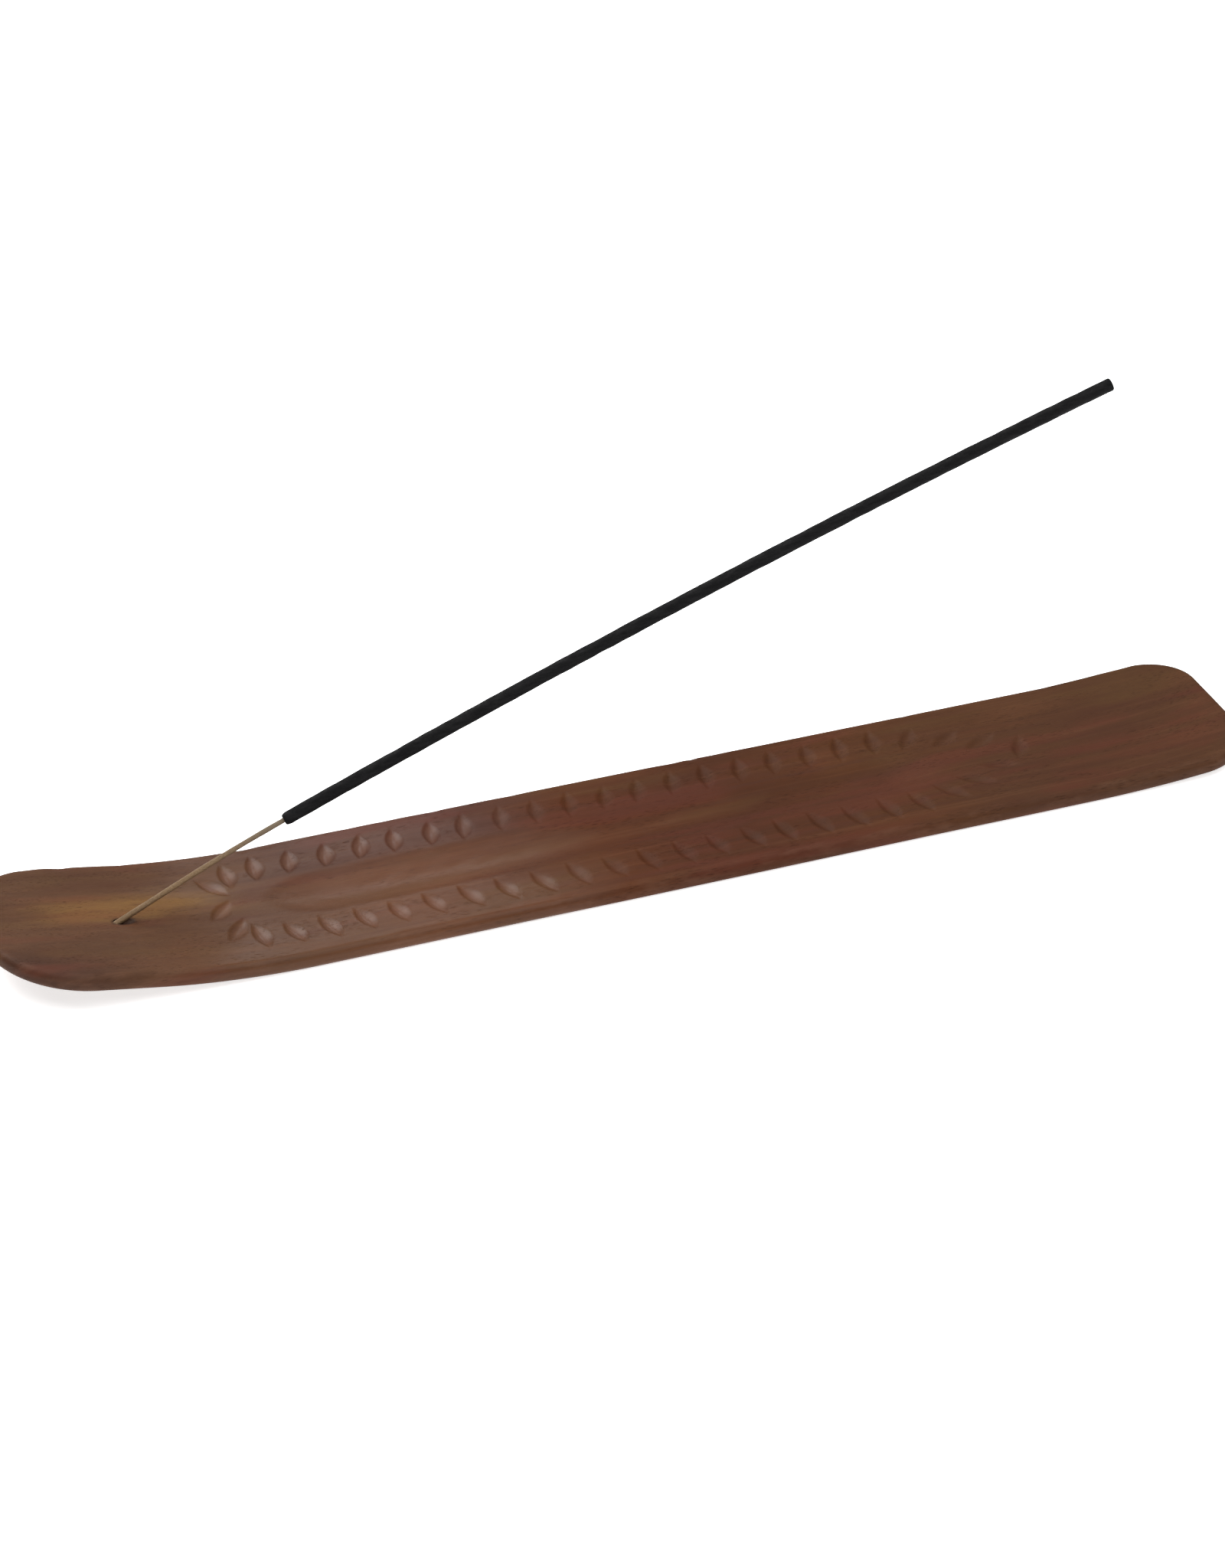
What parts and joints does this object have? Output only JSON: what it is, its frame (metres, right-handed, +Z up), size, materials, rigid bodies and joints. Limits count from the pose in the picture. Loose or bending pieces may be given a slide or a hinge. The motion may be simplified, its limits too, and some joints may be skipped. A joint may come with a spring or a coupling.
{
  "type": "incense burner",
  "caption": "Slim wooden incense boat with upturned ends, a carved leaf border round a long ash trough, and an incense stick in an angled hole.",
  "frame": {"origin": "middle of the wooden tray's footprint, on its flat underside", "axes": "+X along the tray from the stick's hole to the far end, +Z up out of the ash trough, +Y across the tray"},
  "size_m": [0.2534, 0.041, 0.0817],
  "materials": {
    "stained_wood": "reddish brown stained hardwood, thin satin polish, grain along X",
    "bamboo": "bare split bamboo, golden tan",
    "charcoal_paste": "matt black charcoal incense paste, fine grit"
  },
  "bodies": {
    "tray": {"ash_tray": "stained_wood"},
    "stick": {"bamboo_splint": "bamboo", "incense_paste": "charcoal_paste"}
  },
  "joints": [
    {"name": "stick_lift", "type": "slide", "parent": "tray", "child": "stick", "axis": [0.9033, 0, 0.4289], "range_m": [0, 0.03]}
  ]
}
